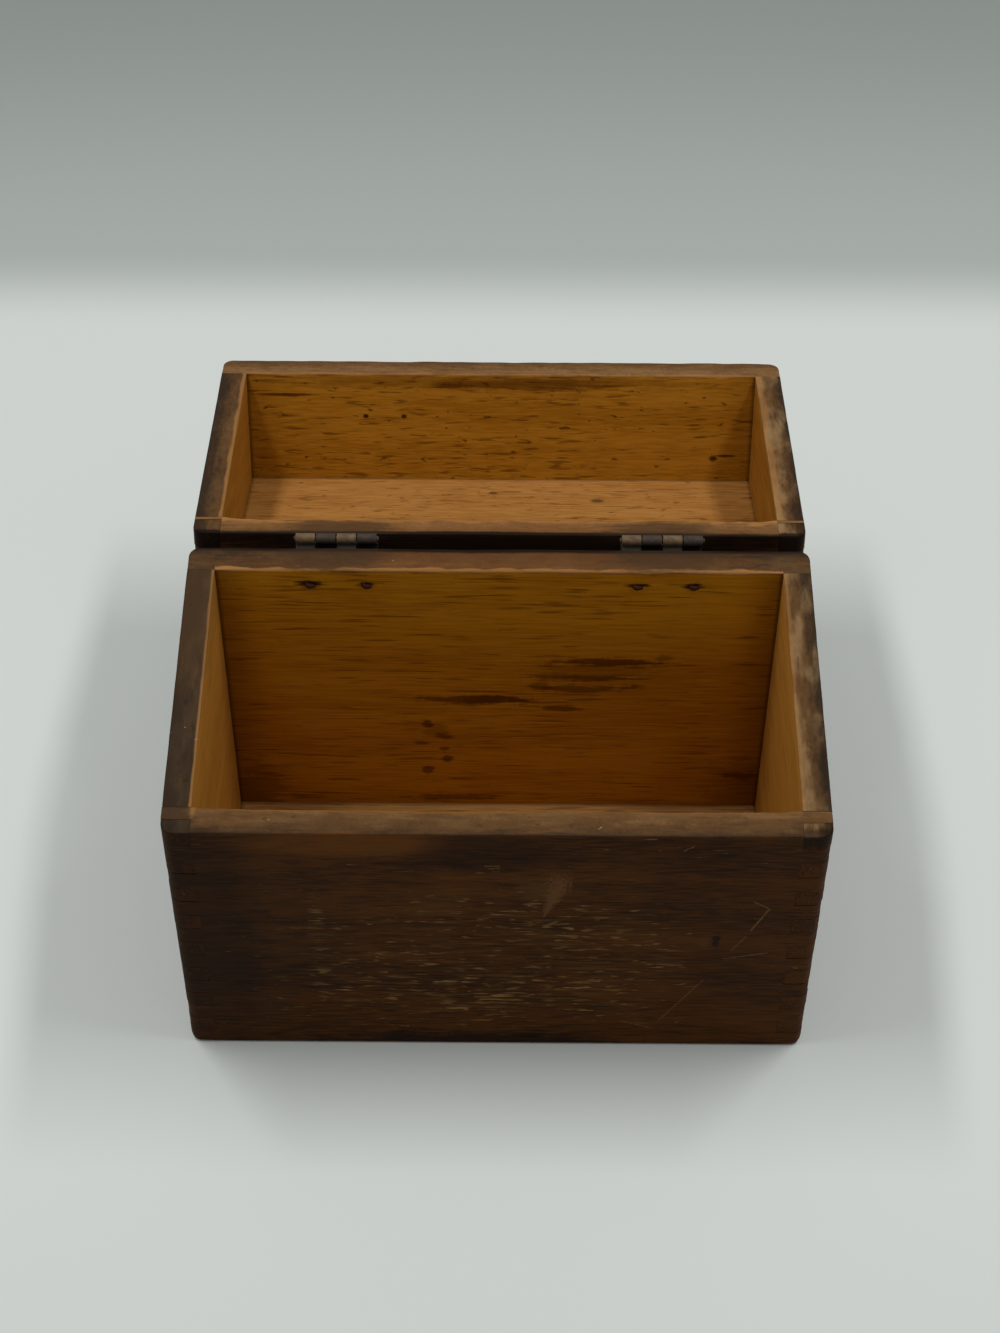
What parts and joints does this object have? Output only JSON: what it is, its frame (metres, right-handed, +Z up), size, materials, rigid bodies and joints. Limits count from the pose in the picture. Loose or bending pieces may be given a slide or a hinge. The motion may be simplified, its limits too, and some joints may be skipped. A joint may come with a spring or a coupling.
{
  "type": "recipe box",
  "caption": "Wooden recipe box for index cards, with finger-jointed walls, a rim that slopes to the front and a hinged lid that swings right over and leans on the back.",
  "frame": {"origin": "middle of the underside of the base", "axes": "+X to the right along the width, -Y towards the front, +Z up; the lid is drawn open, leaning on the back of the base"},
  "size_m": [0.143, 0.1587, 0.0885],
  "materials": {
    "stained_wood": "dark brown stain, worn, with a bare amber inside",
    "panel_wood": "bare aged wood with an amber varnish inside",
    "hinge_leaf": "dull aged brass",
    "hinge_pin": "dull aged brass",
    "nail": "darkened steel wire nail"
  },
  "bodies": {
    "base": {"base_front_board": "stained_wood", "base_back_board": "stained_wood", "base_left_board": "stained_wood", "base_right_board": "stained_wood", "base_bottom_panel": "panel_wood", "left_hinge_base_leaf": "hinge_leaf", "left_hinge_pin": "hinge_pin", "left_hinge_base_nails": "nail", "right_hinge_base_leaf": "hinge_leaf", "right_hinge_pin": "hinge_pin", "right_hinge_base_nails": "nail"},
    "lid": {"lid_front_board": "stained_wood", "lid_back_board": "stained_wood", "lid_left_board": "stained_wood", "lid_right_board": "stained_wood", "lid_top_panel": "panel_wood", "left_hinge_lid_leaf": "hinge_leaf", "left_hinge_lid_nails": "nail", "right_hinge_lid_leaf": "hinge_leaf", "right_hinge_lid_nails": "nail"}
  },
  "joints": [
    {"name": "lid_hinge", "type": "hinge", "parent": "base", "child": "lid", "pos_m": [0, 0.0412, 0.08734], "axis": [1, 0, 0], "range_deg": [0, 195.86]}
  ]
}
